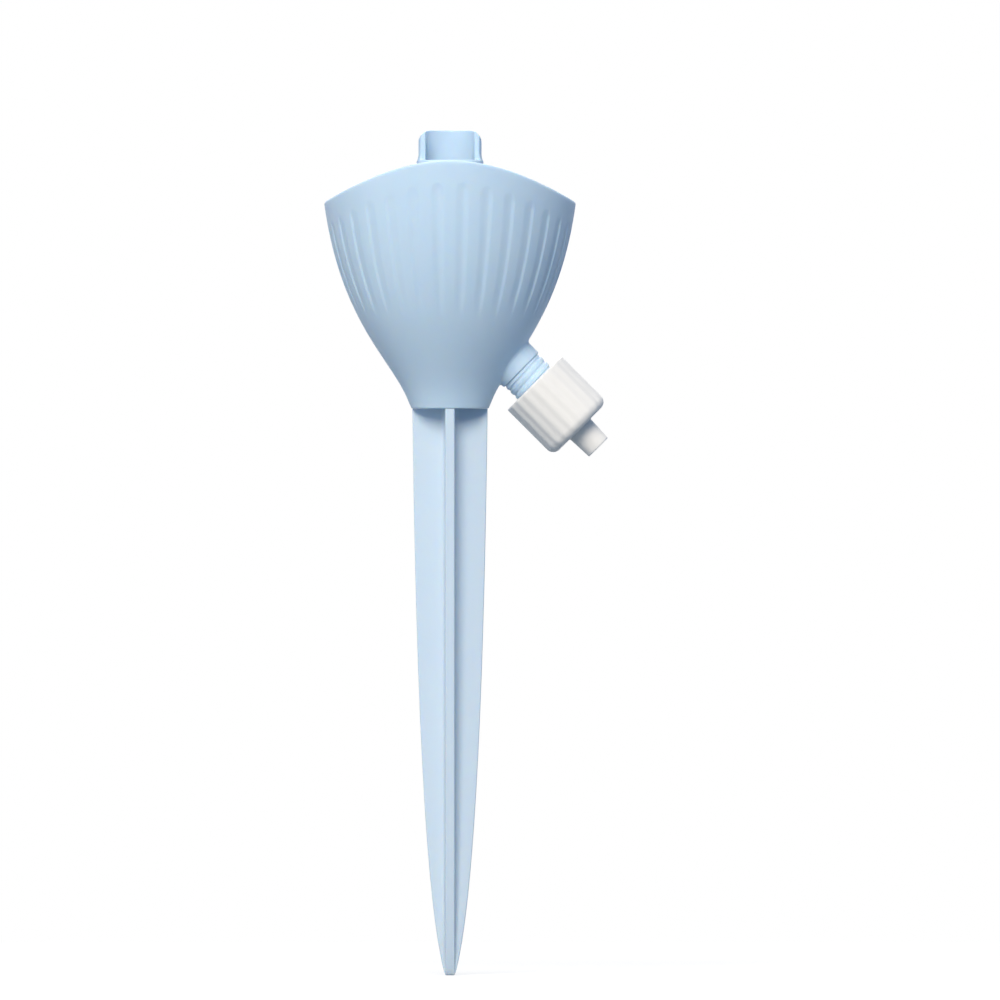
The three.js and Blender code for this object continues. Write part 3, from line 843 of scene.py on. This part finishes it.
def make_seat_washer():
    outer_r = CAP_BORE_R - SEAT_GAP
    corners = [
        (WASHER_BORE_R, WASHER_REAR_S, WASHER_ROUND),
        (outer_r, WASHER_REAR_S, WASHER_ROUND),
        (outer_r, WASHER_FRONT_S, WASHER_ROUND),
        (WASHER_BORE_R, WASHER_FRONT_S, WASHER_ROUND),
    ]
    make_seal("seat_washer_ring", in_valve(revolve(rounded(corners), columns=96)), "seat_washer", "washer")


def make_drip_cap():
    """Ribbed screw cap with a nozzle. Its thread lies half a pitch from the nipple's, in the valleys."""
    profile = rounded(
        [
            (CAP_BORE_R, CAP_REAR_S, CAP_REAR_ROUND),
            (CAP_R, CAP_REAR_S, CAP_REAR_ROUND),
            (CAP_R, CAP_FRONT_S, CAP_CORNER),
            (NOZZLE_ROOT_R, CAP_FRONT_S, NOZZLE_ROOT_FILLET),
            (NOZZLE_TIP_R, NOZZLE_TIP_S, NOZZLE_TIP_ROUND),
            (NOZZLE_BORE_R, NOZZLE_TIP_S, NOZZLE_BORE_ROUND),
            (NOZZLE_BORE_R, CAP_INNER_S, NOZZLE_BORE_ROUND),
            (CAP_BORE_R, CAP_INNER_S, CAP_FLOOR_ROUND),
        ],
        steps=8,
    )

    def ribs(theta, radius):
        groove = 0.5 - 0.5 * np.cos((theta - CAP_RIB_TURN) * CAP_RIBS)
        share = smooth_step((radius - (CAP_R - CAP_CORNER)) / CAP_CORNER)
        return -CAP_RIB_DEPTH * groove * share

    def inner_thread(theta, height):
        shift = PITCH / 2
        low = CAP_REAR_S + PITCH / 2 + shift
        high = WASHER_REAR_S - CAP_THREAD_END + shift
        ridge = thread(theta, height + shift, low, high, PITCH, CAP_THREAD_CREST, CAP_THREAD_ROOT)
        return -CAP_THREAD_DEPTH * ridge

    def relief(theta, radius, height):
        if radius > CAP_R - CAP_CORNER:
            return ribs(theta, radius)
        if abs(radius - CAP_BORE_R) < SAME:
            return inner_thread(theta, height)
        return 0.0

    rings = revolve(spaced(profile, step=0.2), columns=320, relief=relief)
    cap = skin("drip_cap_moulding", in_valve(rings), looped=True)
    finish_piece(cap, "drip_cap", "cap", WHITE)


make_ground_spike()
make_bell_cup()
make_bottle_socket()
make_bottle_gasket()
make_intake_riser()
make_drip_spigot()
make_spigot_o_ring()
make_metering_pin()
make_seat_washer()
make_drip_cap()


# Stage, light and camera, in metres

PICTURE_WIDTH = 0.20947
PICTURE_CENTRE = Vector((0.01047, 0.0, 0.09954))
LENS = 1200.0
SENSOR = 36.0
FLOOR_HALF = 0.5
FLOOR_BOUNCE = (0.2, 0.24, 0.28)
FLOOR_SEEN = (0.35, 0.35, 0.35)
FLOOR_WHITE = 0.66
COOL_AMBIENT = (0.105, 0.192, 0.335)
WARM_WHITE = (1.0, 0.915, 0.79)
LAMP_DISTANCE = 2.4
LAMP_TARGET = Vector((0, 0, 0.13))


def add_camera():
    """Long lens at the height of the picture's centre, looking along +Y."""
    camera = bpy.data.objects.new("camera", bpy.data.cameras.new("camera"))
    camera.data.lens = LENS
    camera.data.sensor_width = SENSOR
    camera.location = PICTURE_CENTRE - Vector((0, PICTURE_WIDTH * LENS / SENSOR, 0))
    camera.rotation_euler = (math.pi / 2, 0, 0)
    bpy.context.scene.collection.objects.link(camera)
    bpy.context.scene.camera = camera


def seen_or_mirrored(nodes, links):
    """1 for rays from the camera and for reflected or refracted ones."""
    path = nodes.new("ShaderNodeLightPath")
    total = path.outputs["Is Camera Ray"]
    for other in ("Is Glossy Ray", "Is Transmission Ray"):
        add = nodes.new("ShaderNodeMath")
        add.operation = "ADD"
        add.use_clamp = True
        links.new(total, add.inputs[0])
        links.new(path.outputs[other], add.inputs[1])
        total = add.outputs[0]
    return total


def add_floor():
    """Floor that is seen as white with the object's soft shadow, and lights the object as a cool grey."""
    corners = [(-1, -1, 0), (1, -1, 0), (1, 1, 0), (-1, 1, 0)]
    floor = mesh_object("floor", np.array(corners) * FLOOR_HALF / MM, [(0, 1, 2, 3)])
    material = bpy.data.materials.new("floor")
    material.use_nodes = True
    nodes, links = material.node_tree.nodes, material.node_tree.links
    nodes.clear()
    seen = seen_or_mirrored(nodes, links)
    tone = nodes.new("ShaderNodeMix")
    tone.data_type = "RGBA"
    tone.inputs["A"].default_value = (*FLOOR_BOUNCE, 1)
    tone.inputs["B"].default_value = (*FLOOR_SEEN, 1)
    links.new(seen, tone.inputs["Factor"])
    paint = nodes.new("ShaderNodeBsdfDiffuse")
    links.new(tone.outputs["Result"], paint.inputs["Color"])
    level = nodes.new("ShaderNodeMath")
    level.operation = "MULTIPLY"
    level.inputs[1].default_value = FLOOR_WHITE
    links.new(seen, level.inputs[0])
    white = nodes.new("ShaderNodeEmission")
    links.new(level.outputs[0], white.inputs["Strength"])
    both = nodes.new("ShaderNodeAddShader")
    links.new(paint.outputs[0], both.inputs[0])
    links.new(white.outputs[0], both.inputs[1])
    out = nodes.new("ShaderNodeOutputMaterial")
    links.new(both.outputs[0], out.inputs["Surface"])
    floor.data.materials.append(material)


def add_world():
    """Even cool light, seen and mirrored as white."""
    world = bpy.data.worlds.new("world")
    world.use_nodes = True
    bpy.context.scene.world = world
    nodes, links = world.node_tree.nodes, world.node_tree.links
    light = nodes.new("ShaderNodeMix")
    light.data_type = "RGBA"
    light.inputs["A"].default_value = (*COOL_AMBIENT, 1)
    light.inputs["B"].default_value = (1, 1, 1, 1)
    links.new(seen_or_mirrored(nodes, links), light.inputs["Factor"])
    links.new(light.outputs["Result"], nodes["Background"].inputs["Color"])


def add_softbox(name, azimuth, elevation, size, power):
    """Square lamp that faces the bell. Azimuth 0 is the camera's side, and 90 is +X."""
    lamp = bpy.data.objects.new(name, bpy.data.lights.new(name, "AREA"))
    lamp.data.shape = "SQUARE"
    lamp.data.size = size
    lamp.data.energy = power
    lamp.data.color = WARM_WHITE
    turn, lift = math.radians(azimuth), math.radians(elevation)
    away = Vector((math.sin(turn) * math.cos(lift), -math.cos(turn) * math.cos(lift), math.sin(lift)))
    lamp.location = LAMP_TARGET + away * LAMP_DISTANCE
    lamp.rotation_euler = (-away).to_track_quat("-Z", "Y").to_euler()
    bpy.context.scene.collection.objects.link(lamp)


add_camera()
add_floor()
add_world()
add_softbox("key", azimuth=-8, elevation=31, size=1.1, power=61.0)
add_softbox("fill", azimuth=-70, elevation=0, size=1.6, power=11.5)
add_softbox("top", azimuth=60, elevation=78, size=1.2, power=15.0)
add_softbox("back", azimuth=180, elevation=30, size=1.2, power=32.0)
bpy.context.scene.view_settings.view_transform = "Standard"
